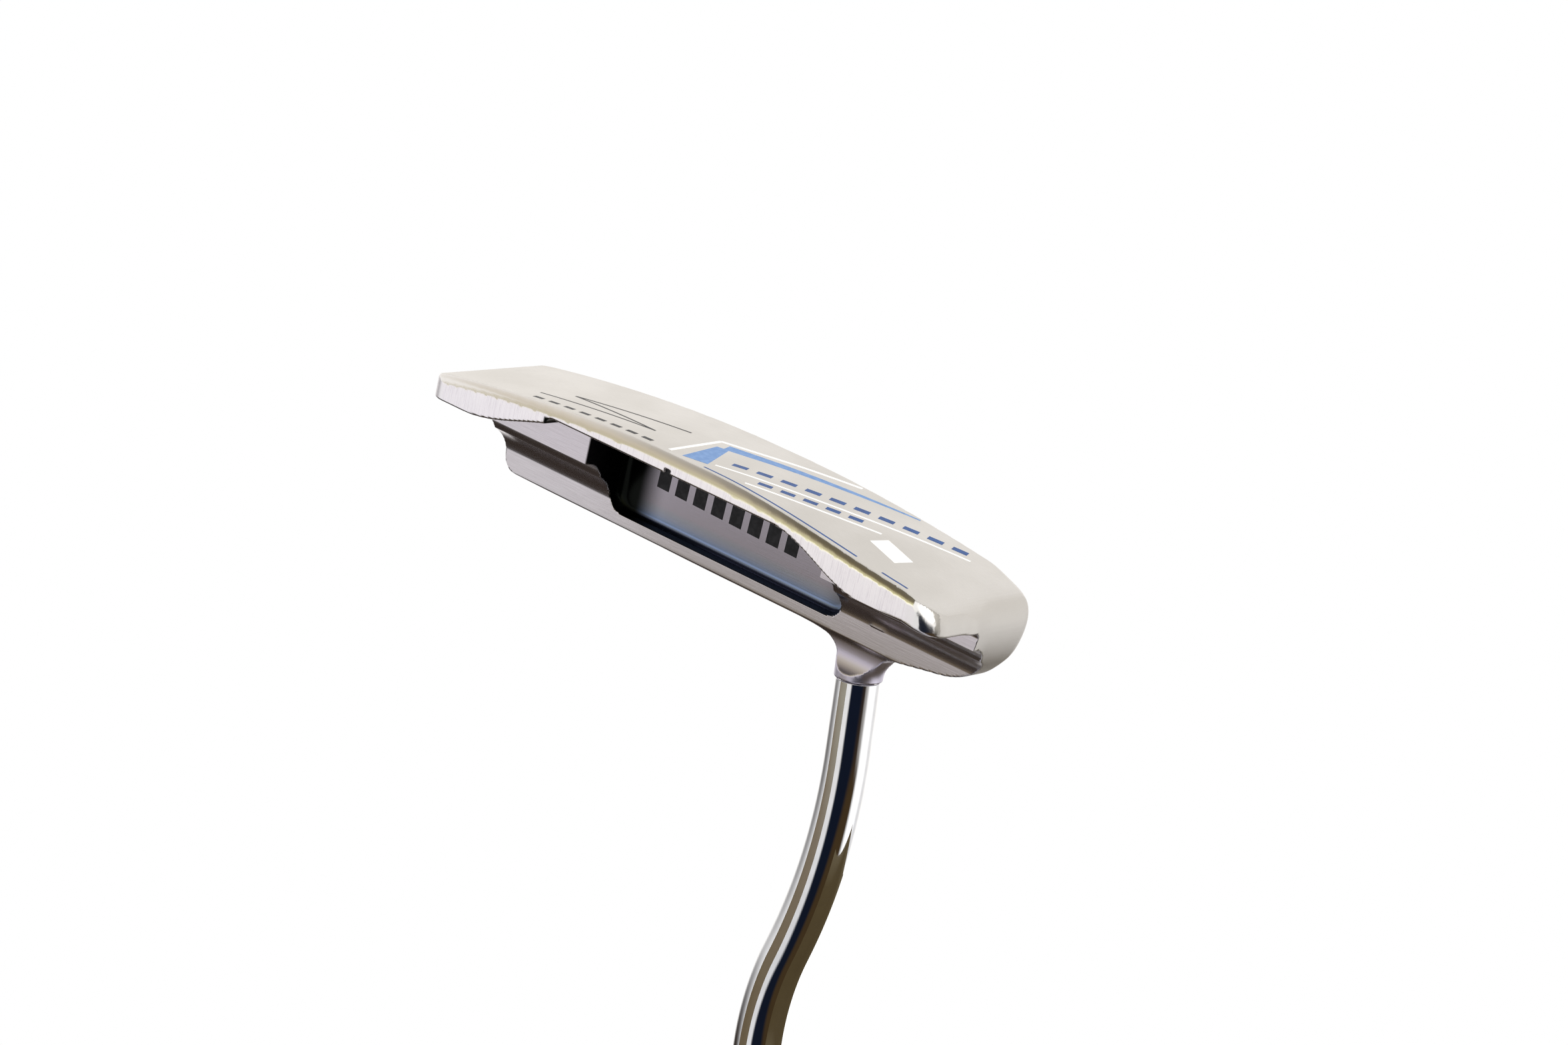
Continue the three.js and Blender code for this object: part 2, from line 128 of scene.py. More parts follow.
def tube_faces(rings, n, closed=False):
    faces = []
    for i in range(rings if closed else rings - 1):
        a, b = i * n, ((i + 1) % rings) * n
        for j in range(n):
            k = (j + 1) % n
            faces.append((a + j, a + k, b + k, b + j))
    return faces


# ------------------------------------------------------------------ head shape, in mm
SOLE_R = 404.0
TOE, TOE_TOP, HEEL, DEPTH, TOP = 66.3, 64.2, -64.8, 31.05, 27.1
BAND_Y, BAND_Z = -7.3, 22.4
STEP1, STEP2 = (-16.5, 14.6), (-11.15, 17.9)
FLANGE, BUMPER = 3.6, 10.0
POCKET = dict(heel=-26.8, toe=34.6, wall=-4.6, top=25.05, corner=4.4)
SIGHT = dict(x=2.2, half_width=0.65, front=-24, depth=0.85)
HEEL_LIP = 1.8         # climb of the heel bumper at its outer end
REAR_COVE = dict(y=-11.2, z=29.5, r=4.8)
FRONT_COVE = dict(y=2.6, z=29.6, r=4.74)
LOFT = math.tan(math.radians(3))
NECK = np.array([-30.7, -3.5, 26.6])
LEAN = math.radians(6.5)
NECK_DIR = np.array([-math.sin(LEAN), 0, math.cos(LEAN)])
NECK_R, NECK_TOP = 4.7, 8.0


def camber(x):
    return np.maximum(0, (np.asarray(x) ** 2 - 64) / (2 * SOLE_R))


def sole_lift(x, y):
    """The heel side of the sole rolls up slightly towards the rear."""
    return 1.0 * smooth(-10, -48, x) * smooth(-8, -31, y)


def sole_z(x, y):
    """Height of the sole: its camber and the roll of the heel."""
    z = camber(x) + sole_lift(x, y)
    for _ in range(8):
        z = z + poly(x, z - sole_lift(x, y) * smooth(9, 3, z), SIDE)
    return z


def cove(p, q, lean, n=12):
    """Hollow arc from a lower ridge to an upper one, ending at a lean from upright."""
    a = math.radians(lean)
    dx, dz = q[0] - p[0], q[1] - p[1]
    r = (dx * dx + dz * dz) / (2 * (dx * math.cos(a) - dz * math.sin(a)))
    cx, cz = q[0] - r * math.cos(a), q[1] + r * math.sin(a)
    return arc(cx, cz, r, math.degrees(math.atan2(p[1] - cz, p[0] - cx)), -lean, n)


def bow(x0, z0, x1, z1, bulge, n=9):
    """Convex arc between two points; bulge is half its turn in degrees."""
    h = math.radians(bulge)
    mx, mz, dx, dz = (x0 + x1) / 2, (z0 + z1) / 2, x1 - x0, z1 - z0
    half = math.hypot(dx, dz) / 2
    away = half / math.tan(h)
    cx, cz = mx + dz / (2 * half) * away, mz - dx / (2 * half) * away
    a = math.degrees(math.atan2(z0 - cz, x0 - cx))
    return arc(cx, cz, half / math.sin(h), a, a - 2 * bulge, n)


SIDE = ([(x, float(camber(x))) for x in np.linspace(-50, 62, 40)]
        + arc(TOE - 2.2, float(camber(TOE)) + 1.95, 2.2, -75, 0, 8) + [(TOE, BUMPER)]
        + arc(TOE_TOP - 3.6, TOP - 3.95, 3.6, 0, 90, 8)
        + [(50, TOP - 0.25), (5, TOP), (-14, TOP)]
        + spline([(-17.5, TOP), (-21.5, TOP + 0.2), (-24.4, TOP + 0.7), (-26.6, TOP + 1.6),
                  (-31, TOP + 2.4), (-36.2, TOP + 2.0), (-38.6, TOP + 0.9), (-41.5, 27.0),
                  (-48, 25.85), (-54.0, 24.75), (-58.2, 22.8), (-61.3, 19.7), (-63.5, 16.2),
                  (HEEL, 12.4), (-64.75, 9.4), (-63.2, 6.8), (-60.4, 4.95), (-56, 3.8), (-51, 3.15)], 5))
PLAN = (arc(HEEL + 2.6, -2.6, 2.6, 90, 180)
        + arc(HEEL + 6, -DEPTH + 6, 6, 180, 270, 16)
        + arc(TOE - 4.2, -DEPTH + 4.2, 4.2, 270, 360)
        + arc(TOE - 1.6, -1.6, 1.6, 0, 90))
STAIR = ([(-40, BUMPER + HEEL_LIP), (STEP1[0], BUMPER + HEEL_LIP)]
         + cove(STEP1, STEP2, 22) + cove(STEP2, (BAND_Y, BAND_Z), 15) + [(BAND_Y, 60), (-40, 60)])


def rise(x0, x1):
    return [(lerp(x0, x1, i / 14), lerp(FLANGE, BUMPER, (i / 14) ** 2 * (3 - 2 * i / 14)))
            for i in range(15)]


WAVE = ([(-70, 40), (-70, BUMPER + HEEL_LIP), (-57, BUMPER)] + rise(-24.2, -47.2)[::-1]
        + rise(25, 56) + [(80, BUMPER), (80, 40)])
P = POCKET
POCKET_SIDE = ([(-50, FLANGE)] + arc(P["wall"] - 4, FLANGE + 4, 4, -90, 0, 8)
               + arc(P["wall"] - 2, P["top"] - 2, 2, 0, 90, 8) + [(-50, P["top"])])
POCKET_FACE = ([(P["heel"], -9), (P["toe"], -9)]
               + arc(P["toe"] - P["corner"], P["top"] - P["corner"], P["corner"], 0, 90, 10)
               + arc(P["heel"] + P["corner"], P["top"] - P["corner"], P["corner"], 90, 180, 10))
BEVEL = (bow(-DEPTH + 1.35, 0, -DEPTH, 1.75, 28) + [(-DEPTH - 6, 6), (-DEPTH - 6, -8), (-DEPTH + 1.35, -8)])


def head_sdf(x, y, z):
    """Signed distance to the milled head without its post, negative inside."""
    lift = sole_lift(x, y) * smooth(9, 3, z)
    side, plan = poly(x, z - lift, SIDE), poly(x, y, PLAN)
    # the rear heel corner rolls under and meets the heel end in a crease
    roll = smooth(-57.5, -62, x) * smooth(-17, -22, y) * smooth(14, 10, z)
    body = np.maximum(side, both(side - 1.4 * roll, plan, 0.5 + 4.6 * roll
                                 + 2.6 * smooth(-50, -60, x) * smooth(-20, -12, y)))
    face = (y + z * LOFT) / math.hypot(1, LOFT)
    body = both(body, face, 0.7)
    cut = np.minimum(poly(y, z, STAIR), both(poly(x, z, WAVE), y - STEP1[0], 1.4))
    cut = np.minimum(cut, both(poly(y, z, POCKET_SIDE), poly(x, z, POCKET_FACE), 2.0))
    notch = np.maximum(np.abs(x - SIGHT["x"]) - SIGHT["half_width"], y - SIGHT["front"])
    cut = np.minimum(cut, np.maximum(notch, FLANGE - SIGHT["depth"] - z))
    body = both(body, -cut, 0.16 + 0.22 * smooth(-DEPTH + 3, -DEPTH + 1, y) + 0.5 * smooth(-50, -58, x)
                * smooth(-18, -21, y))
    body = join(body, neck_sdf(x, y, z), 1.5 + 3.2 * smooth(-32, -35, x) + 0.4 * smooth(-29, -26, x))
    # coves milled along the topline, behind and in front of the neck
    for hollow in (REAR_COVE, FRONT_COVE):
        body = both(body, hollow["r"] - np.hypot(y - hollow["y"], z - hollow["z"]), 0.15)
    body = np.maximum(body, np.minimum(face, TOP - z))
    body = np.maximum(body, np.minimum(np.minimum(BAND_Y - y, TOP - z), z - BAND_Z))
    # the rear edge's bevel narrows towards the heel
    k = 1 - 0.2 * smooth(-10, -45, x)
    bevel = k * poly((y + DEPTH) / k - DEPTH, (z - camber(x) - lift) / k, BEVEL)
    return both(body, -bevel, 0.06)


def neck_sdf(x, y, z):
    rx, ry, rz = x - NECK[0], y - NECK[1], z - NECK[2]
    s = rx * NECK_DIR[0] + rz * NECK_DIR[2]
    rad = np.sqrt(np.maximum(rx * rx + ry * ry + rz * rz - s * s, 0))
    return np.maximum(both(rad - NECK_R, s - NECK_TOP, 0.3), 25.6 - z)


def head_mesh(h=0.36):
    gx = np.arange(HEEL - 3, TOE + 3, h, dtype=np.float32)
    gy = np.arange(-DEPTH - 3, 4.2, h, dtype=np.float32)
    gz = np.arange(-2.5, 37.5, h, dtype=np.float32)
    field = head_sdf(gx[:, None, None], gy[None, :, None], gz[None, None, :])
    grid = openvdb.FloatGrid(3 * h)
    grid.copyFromArray(np.clip(field, -3 * h, 3 * h).astype(np.float32))
    verts, _, quads = grid.convertToPolygons(isovalue=0.0, adaptivity=0.0)
    v = np.asarray(verts, np.float64) * h + np.array([gx[0], gy[0], gz[0]])

    def gradient(p, e):
        g = np.stack([head_sdf(p[:, 0] + dx, p[:, 1] + dy, p[:, 2] + dz)
                      - head_sdf(p[:, 0] - dx, p[:, 1] - dy, p[:, 2] - dz)
                      for dx, dy, dz in ((e, 0, 0), (0, e, 0), (0, 0, e))], 1) / (2 * e)
        return g

    for _ in range(2):
        d = head_sdf(v[:, 0], v[:, 1], v[:, 2])
        g = gradient(v, 0.05)
        v -= g * (np.clip(d, -0.3, 0.3) / np.maximum((g * g).sum(1), 0.3))[:, None]
    normals = gradient(v, 0.04)
    normals /= np.maximum(np.linalg.norm(normals, axis=1), 1e-6)[:, None]
    quads = np.asarray(quads, int)
    a, b, c = v[quads[0, 0]], v[quads[0, 1]], v[quads[0, 2]]
    if np.dot(np.cross(b - a, c - b), normals[quads[0, 0]]) < 0:
        quads = quads[:, ::-1]
    faces = [tuple(q) for q in quads.tolist()]
    # the hidden post, closed at both ends
    n = 48
    a = np.linspace(0, 2 * math.pi, n, endpoint=False)
    side = np.array([0, 1.0, 0])
    other = np.cross(side, NECK_DIR)
    profile = [(6.5, 0.01), (6.5, 3.05), (NECK_TOP + 23.2, 3.05), (NECK_TOP + 24, 2.35),
               (NECK_TOP + 24, 0.01)]
    base = len(v)
    post = np.concatenate([NECK + s * NECK_DIR + r * (np.cos(a)[:, None] * other + np.sin(a)[:, None] * side)
                           for s, r in profile])
    post_normals = np.concatenate([(np.cos(a)[:, None] * other + np.sin(a)[:, None] * side)] * len(profile))
    for q in tube_faces(len(profile), n):
        faces.append(tuple(base + i for i in q))
    v = np.concatenate([v, post])
    normals = np.concatenate([normals, post_normals])
    return v, faces, normals


# ------------------------------------------------------------------ materials
class Nodes:
    def __init__(self, name):
        self.mat = bpy.data.materials.new(name)
        self.mat.use_nodes = True
        self.tree = self.mat.node_tree
        self.bsdf = self.tree.nodes["Principled BSDF"]

    def add(self, kind, **props):
        node = self.tree.nodes.new(kind)
        for k, v in props.items():
            setattr(node, k, v)
        return node

    def put(self, socket, value):
        if hasattr(value, "is_output") or isinstance(value, bpy.types.NodeSocket):
            self.tree.links.new(value, socket)
        else:
            socket.default_value = value

    def math(self, op, a, b=None, c=None, clamp=False):
        n = self.add("ShaderNodeMath", operation=op, use_clamp=clamp)
        for i, v in enumerate((a, b, c)):
            if v is not None:
                self.put(n.inputs[i], v)
        return n.outputs[0]

    def mix(self, t, a, b):
        n = self.add("ShaderNodeMix", data_type="RGBA")
        self.put(n.inputs["Factor"], t)
        self.put(n.inputs[6], a)
        self.put(n.inputs[7], b)
        return n.outputs[2]

    def mixf(self, t, a, b):
        n = self.add("ShaderNodeMix", data_type="FLOAT")
        self.put(n.inputs["Factor"], t)
        self.put(n.inputs[2], a)
        self.put(n.inputs[3], b)
        return n.outputs[0]

    def step(self, x, a, b):
        n = self.add("ShaderNodeMapRange", interpolation_type="SMOOTHSTEP")
        self.put(n.inputs["Value"], x)
        n.inputs["From Min"].default_value = a
        n.inputs["From Max"].default_value = b
        return n.outputs[0]

    def ramp(self, x, lo, hi, stops):
        r = self.add("ShaderNodeMapRange")
        self.put(r.inputs["Value"], x)
        r.inputs["From Min"].default_value = lo
        r.inputs["From Max"].default_value = hi
        n = self.add("ShaderNodeValToRGB")
        self.put(n.inputs[0], r.outputs[0])
        els = n.color_ramp.elements
        for el, (at, rgb) in zip((els[0], els[1]), (stops[0], stops[-1])):
            el.position, el.color = at, (*rgb, 1)
        for at, rgb in stops[1:-1]:
            els.new(at).color = (*rgb, 1)
        return n.outputs[0]

    def position(self):
        """Object coordinates in mm, in the drawing's frame."""
        if not hasattr(self, "_pos"):
            tc = self.add("ShaderNodeTexCoord")
            m = self.add("ShaderNodeVectorMath", operation="MULTIPLY_ADD")
            self.put(m.inputs[0], tc.outputs["Object"])
            m.inputs[1].default_value = (1000, 1000, 1000)
            m.inputs[2].default_value = (0, -FORWARD, 0)
            self._pos = m.outputs[0]
            s = self.add("ShaderNodeSeparateXYZ")
            self.put(s.inputs[0], self._pos)
            self._xyz = s.outputs
        return self._pos

    def xyz(self, i):
        self.position()
        return self._xyz[i]

    def normal(self, i):
        if not hasattr(self, "_nrm"):
            g = self.add("ShaderNodeTexCoord")
            s = self.add("ShaderNodeSeparateXYZ")
            self.put(s.inputs[0], g.outputs["Normal"])
            self._nrm = s.outputs
        return self._nrm[i]

    def noise(self, scale, detail=3.0, rough=0.5, stretch=(1, 1, 1), rotate=(0, 0, 0)):
        m = self.add("ShaderNodeMapping")
        self.put(m.inputs["Vector"], self.position())
        m.inputs["Scale"].default_value = stretch
        m.inputs["Rotation"].default_value = rotate
        n = self.add("ShaderNodeTexNoise")
        self.put(n.inputs["Vector"], m.outputs[0])
        n.inputs["Scale"].default_value = scale
        n.inputs["Detail"].default_value = detail
        n.inputs["Roughness"].default_value = rough
        return n.outputs[0]

    def bump(self, height, strength, distance, normal=None):
        n = self.add("ShaderNodeBump")
        self.put(n.inputs["Height"], height)
        n.inputs["Strength"].default_value = strength
        n.inputs["Distance"].default_value = distance
        if normal is not None:
            self.put(n.inputs["Normal"], normal)
        return n.outputs[0]

    def finish(self, color, rough, metal, bump=None, **extra):
        self.put(self.bsdf.inputs["Base Color"], color)
        self.put(self.bsdf.inputs["Roughness"], rough)
        self.bsdf.inputs["Metallic"].default_value = metal
        if bump is not None:
            self.put(self.bsdf.inputs["Normal"], bump)
        for k, v in extra.items():
            self.bsdf.inputs[k].default_value = v
        return self.mat


def steel_head():
    m = Nodes("milled_steel")
    x, y, z = m.xyz(0), m.xyz(1), m.xyz(2)
    nx, ny, nz = m.normal(0), m.normal(1), m.normal(2)
    # faces: sole and heel end are bead-blasted, rim is scratched; the pocket wall carries painted reflection
    # and shade
    rim = m.math("MULTIPLY", m.step(y, -DEPTH + 0.25, -DEPTH + 0.05), m.step(ny, -0.9, -0.985))
    heel_end = m.math("MULTIPLY", m.step(x, -50, -54), m.step(ny, -0.36, -0.30))
    flat = m.step(ny, -0.36, -0.30)
    down = m.math("MAXIMUM", m.math("MULTIPLY", m.step(nz, -0.35, -0.75), flat), heel_end)
    edge = m.math("MULTIPLY", m.step(y, -DEPTH + 1.6, -DEPTH + 1.4), m.step(nz, -0.12, -0.2))
    edge = m.math("MULTIPLY", edge, m.math("SUBTRACT", 1.0, flat))
    # painted reflection and shade: mask of the pocket wall, whose colour stands in for its shading
    pocket_shade_mask = m.math("MULTIPLY", m.math("MULTIPLY", m.step(x, P["heel"] - 0.4, P["heel"] + 0.1),
                                       m.step(x, P["toe"] + 0.4, P["toe"] - 0.1)),
                    m.math("MULTIPLY", m.step(z, P["top"] + 0.2, P["top"] - 0.1), m.step(y, -2, -4.0)))
    inside = m.math("MAXIMUM", m.step(y, BAND_Y, BAND_Y + 0.15), m.step(z, 22.6, 22.0))
    pocket_shade_mask = m.math("MULTIPLY", m.math("MULTIPLY", pocket_shade_mask, inside), m.step(z, FLANGE - 0.3, FLANGE + 0.2))
    nose = m.math("MULTIPLY", m.step(x, -56.5, -58.5), m.math("SUBTRACT", 1.0, heel_end))
    nose_zone = m.math("MULTIPLY", nose, m.math("MULTIPLY", m.step(z, 11.0, 9.9), m.step(nz, 0.35, 0.1)))
    grain = m.noise(9.0, 2.0, 0.6)
    brushed = m.noise(1.0, 4.0, 0.65, (0.15, 6.0, 6.0))
    scratch = m.noise(1.0, 5.0, 0.75, (4.5, 0.5, 0.22), rotate=(0, math.radians(-28), 0))
    cloud = m.noise(0.06, 3.0, 0.5)
    base = m.mix(m.step(cloud, 0.35, 0.7), (0.70, 0.675, 0.645, 1), (0.76, 0.735, 0.71, 1))
    base = m.mix(m.math("MULTIPLY", m.step(brushed, 0.4, 0.75), 0.35), base, (0.62, 0.60, 0.575, 1))
    satin = m.mix(m.step(brushed, 0.35, 0.7), (0.62, 0.585, 0.605, 1), (0.70, 0.665, 0.69, 1))
    color = m.mix(down, satin, base)
    scratched = m.mix(m.step(scratch, 0.45, 0.72), (0.99, 0.97, 0.99, 1), (0.80, 0.77, 0.81, 1))
    color = m.mix(rim, color, scratched)
    # painted reflection and shade: the pocket wall runs from lavender grey through blue to near black towards
    # the cove under the topline
    tint = m.ramp(z, 20.0, 25.0, [
        (0.0, (0.36, 0.335, 0.37)), (0.2, (0.326, 0.335, 0.374)), (0.4, (0.30, 0.325, 0.40)),
        (0.6, (0.228, 0.302, 0.451)), (0.72, (0.175, 0.215, 0.366)), (0.84, (0.086, 0.114, 0.20)),
        (0.96, (0.047, 0.074, 0.118))])
    # painted shade: the pocket wall goes near black towards its toe end and mostly black towards its heel end
    pocket_end_shade_mix = m.math("MULTIPLY", m.step(x, 30, 22.5), m.mixf(m.step(x, -28, -19), 0.3, 1.0))
    tint = m.mix(pocket_end_shade_mix, (0.006, 0.007, 0.006, 1), tint)
    color = m.mix(pocket_shade_mask, color, tint)
    color = m.mix(edge, color, (0.86, 0.84, 0.83, 1))
    # painted shade: where the heel end turns to face the heel, its colour is darkened towards warm grey
    heel_end_shade = m.math("MULTIPLY", heel_end, m.step(nx, -0.35, -0.85))
    color = m.mix(m.math("MULTIPLY", heel_end_shade, 0.55), color, (0.56, 0.53, 0.49, 1))
    color = m.mix(m.step(z, TOP + 0.4, TOP + 1.4), color, (0.60, 0.565, 0.66, 1))
    color = m.mix(nose_zone, color, (0.90, 0.885, 0.87, 1))
    # painted shade: a dark line along the crease where the rear heel corner meets the heel end
    heel_crease_shade = m.math("MULTIPLY", m.step(ny, -0.30, -0.34), m.step(ny, -0.50, -0.44))
    heel_crease_shade = m.math("MULTIPLY", heel_crease_shade, m.math("MULTIPLY", m.step(x, -57, -60), m.step(z, 11, 10)))
    color = m.mix(m.math("MULTIPLY", heel_crease_shade, 0.7), color, (0.16, 0.14, 0.10, 1))
    rough = m.mixf(down, 0.24, 0.46)
    rough = m.mixf(rim, rough, 0.30)
    rough = m.mixf(edge, rough, m.mixf(m.step(x, -40, 40), 0.13, 0.22))
    rough = m.mixf(nose_zone, rough, 0.16)
    rough = m.mixf(m.step(z, TOP + 0.4, TOP + 1.2), rough, 0.36)
    rough = m.math("ADD", rough, m.math("MULTIPLY", m.math("SUBTRACT", grain, 0.5), 0.10))
    height = m.math("ADD", m.math("MULTIPLY", grain, m.mixf(down, 0.25, 1.0)),
                    m.math("MULTIPLY", scratch, m.math("MULTIPLY", rim, 2.2)))
    height = m.math("ADD", height, m.math("MULTIPLY", brushed, 0.5))
    return m.finish(color, rough, 1.0, m.bump(height, 0.22, 0.00006))


def chrome():
    m = Nodes("chrome")
    haze = m.noise(0.35, 4.0, 0.6)
    fine = m.noise(2.5, 3.0, 0.6, (1, 1, 0.05))
    color = m.mix(m.step(haze, 0.3, 0.75), (0.90, 0.90, 0.91, 1), (0.84, 0.835, 0.84, 1))
    rough = m.math("ADD", 0.035, m.math("MULTIPLY", m.step(haze, 0.45, 0.8), 0.05))
    return m.finish(color, rough, 1.0, m.bump(fine, 0.03, 0.00005))


def rubber(name, color, speck):
    m = Nodes(name)
    grain = m.noise(2.6, 3.0, 0.65)
    dust = m.noise(0.12, 4.0, 0.6)
    col = m.mix(m.step(dust, 0.4, 0.75), color, speck)
    rough = m.math("ADD", 0.58, m.math("MULTIPLY", grain, 0.25))
    return m.finish(col, rough, 0.0, m.bump(grain, 0.5, 0.00012))


def enamel(name, a, b, rough=0.32):
    m = Nodes(name)
    cloud = m.noise(0.8, 4.0, 0.6)
    fine = m.noise(6.0, 2.0, 0.6)
    col = m.mix(m.step(cloud, 0.35, 0.7), a, b)
    r = m.math("ADD", rough, m.math("MULTIPLY", cloud, 0.16))
    return m.finish(col, r, 0.0, m.bump(fine, 0.25, 0.00003), **{"Specular IOR Level": 0.18})


STEEL = steel_head()
CHROME = chrome()
RUBBER = rubber("grip_rubber", (0.018, 0.018, 0.020, 1), (0.035, 0.035, 0.038, 1))
CAP = rubber("cap_rubber", (0.012, 0.012, 0.013, 1), (0.022, 0.022, 0.024, 1))
EPOXY = enamel("epoxy", (0.20, 0.17, 0.10, 1), (0.27, 0.23, 0.14, 1), 0.4)
TAPE = enamel("tape", (0.58, 0.50, 0.33, 1), (0.68, 0.60, 0.42, 1), 0.7)
WHITE = enamel("paint_white", (0.92, 0.92, 0.90, 1), (0.86, 0.86, 0.84, 1))
BLUE = enamel("paint_blue", (0.012, 0.055, 0.20, 1), (0.022, 0.085, 0.27, 1))
LIGHT_BLUE = enamel("paint_light_blue", (0.10, 0.22, 0.47, 1), (0.17, 0.30, 0.56, 1))
BLACK = enamel("paint_black", (0.010, 0.010, 0.012, 1), (0.025, 0.025, 0.028, 1))

# ------------------------------------------------------------------ head
v, faces, normals = head_mesh()
head = new_object("head", v, faces, "putter_head", STEEL)
head.data.normals_split_custom_set_from_vertices(normals.tolist())


# ------------------------------------------------------------------ shaft
def shaft_path():
    """Points, directions and length along the centreline: neck, two bends, upper shaft."""
    p = NECK + NECK_DIR * (NECK_TOP + 0.3)
    angle, s, out = -6.5, 0.0, []

    def d(a):
        return np.array([math.sin(math.radians(a)), 0, math.cos(math.radians(a))])

    def run(length, n):
        nonlocal p, s
        for _ in range(n):
            p = p + d(angle) * length / n
            s += length / n
            out.append((p, d(angle), s))

    def bend(radius, to, n):
        nonlocal p, s, angle
        turn = (to - angle) / n
        for _ in range(n):
            p = p + d(angle + turn / 2) * 2 * radius * math.sin(math.radians(abs(turn)) / 2)
            angle += turn
            s += radius * math.radians(abs(turn))
            out.append((p, d(angle), s))

    out.append((p, d(angle), s))
    run(0.05, 1)
    run(13.95, 8)
    bend(120, 14, 40)
    run(1.6, 2)
    bend(60, -20, 50)
    top = 889 * math.cos(math.radians(20)) - 3.2 - 4.5 - 1
    total = (top - p[2]) / d(angle)[2]
    run(total, int(total / 2.0))
    return out


def shaft_radius(s):
    steps = sum(0.28 * smooth(190 + 36 * i, 190 + 36 * i + 2.4, s) for i in range(9))
    return np.minimum(7.35, 4.35 + np.minimum(s, 90) * 0.0055 + steps)


path = shaft_path()
N = 72
ang = np.linspace(0, 2 * math.pi, N, endpoint=False)
side = np.array([0, 1.0, 0])
rings = []
for inner in (False, True):
    for p, t, s in (path if not inner else path[::-1]):
        other = np.cross(side, t)
        r = float(shaft_radius(s)) - (0.55 if inner else 0)
        rings.append(p + r * (np.cos(ang)[:, None] * other + np.sin(ang)[:, None] * side))
new_object("shaft_tube", np.concatenate(rings), tube_faces(len(rings), N, True), "shaft", CHROME)

# ------------------------------------------------------------------ grip and cap
end_p, axis, _ = path[-1]
butt = end_p + axis * 5.5
thumb = np.array([axis[2], 0, -axis[0]])


def grip_profile(t):
    swell = np.exp(-(((t - 0.12) / 0.16) ** 2))
    return 18.6 + 6.6 * (1 - t) ** 0.8, 9 + 1.4 * (1 - t), 9.2 + 3.4 * (1 - t) + 2.4 * swell


def grip_ring(s, k=1.0, n=144, relief=None):
    width, front, back = grip_profile(min(max(-s / 267, 0), 1))
    a = np.linspace(0, 2 * math.pi, n, endpoint=False)
    c, q = np.cos(a), np.sin(a)
    flat = np.where(q > 0, np.sign(c) * np.abs(c) ** 0.55, c) * width / 2
    deep = np.where(q > 0, front * np.abs(q) ** 0.45, back * q)
    r = np.hypot(flat, deep)
    sink = relief(s, a) if relief is not None else 0
    f = k * (r - sink) / r
    return butt + s * axis + (f * flat)[:, None] * side + (f * deep)[:, None] * thumb


def grip_relief(s, a):
    """Depth in mm of the moulded pattern: fine grooves round the back, a quiet thumb flat."""
    t = -s
    pocket_end_shade_mix = smooth(6, 10, t) * smooth(261, 256, t)
    back = smooth(0.15, -0.15, np.sin(a))
    groove = 0.5 + 0.5 * np.cos(2 * math.pi * t / 3.0)
    weave = np.clip(groove * (0.5 + 0.5 * np.cos(26 * a)) * 2.2 - 0.5, 0, 1)
    thumb_rows = (0.5 + 0.5 * np.cos(2 * math.pi * t / 6.0)) ** 6 * smooth(0.75, 0.9, np.sin(a))
    return 0.28 * pocket_end_shade_mix * back * weave + 0.22 * pocket_end_shade_mix * thumb_rows


stations = np.concatenate([[0, -0.25, -0.8], np.arange(-1.5, -265.6, -0.75), [-266.2, -266.75, -267]])
grip_rings = []
for s in stations:
    edge = 1 - 0.035 * (1 - math.sqrt(max(0, 1 - (1 - min(1, -s / 0.8)) ** 2))) \
        - 0.05 * (1 - math.sqrt(max(0, 1 - (1 - min(1, (s + 267) / 0.8)) ** 2)))
    grip_rings.append(grip_ring(s, edge, relief=grip_relief))
a144 = np.linspace(0, 2 * math.pi, 144, endpoint=False)
for s in (-267, 0):
    grip_rings.append(butt + s * axis + 8.05 * (np.cos(a144)[:, None] * side + np.sin(a144)[:, None] * thumb))
new_object("grip_body", np.concatenate(grip_rings), tube_faces(len(grip_rings), 144, True),
           "grip", RUBBER)


def flat_ring(s, r):
    return butt + s * axis + r * (np.cos(a144)[:, None] * side + np.sin(a144)[:, None] * thumb)


def cap_ring(s, k):
    w = grip_ring(0, k)
    return w + axis * s


cap_rings = [flat_ring(-4.5, 1.6), flat_ring(-4.5, 7.75), flat_ring(0.3, 7.75), cap_ring(0.3, 0.97),
             cap_ring(0.5, 0.995), cap_ring(1.6, 0.995), cap_ring(2.2, 0.98), cap_ring(2.7, 0.95),
             cap_ring(3.05, 0.90), cap_ring(3.2, 0.84), cap_ring(3.2, 0.62), cap_ring(2.85, 0.59),
             cap_ring(2.85, 0.40), flat_ring(3.1, 3.2), flat_ring(3.1, 1.9), flat_ring(2.9, 1.6)]
new_object("grip_end", np.concatenate(cap_rings), tube_faces(len(cap_rings), 144, True),
           "grip_cap", CAP)


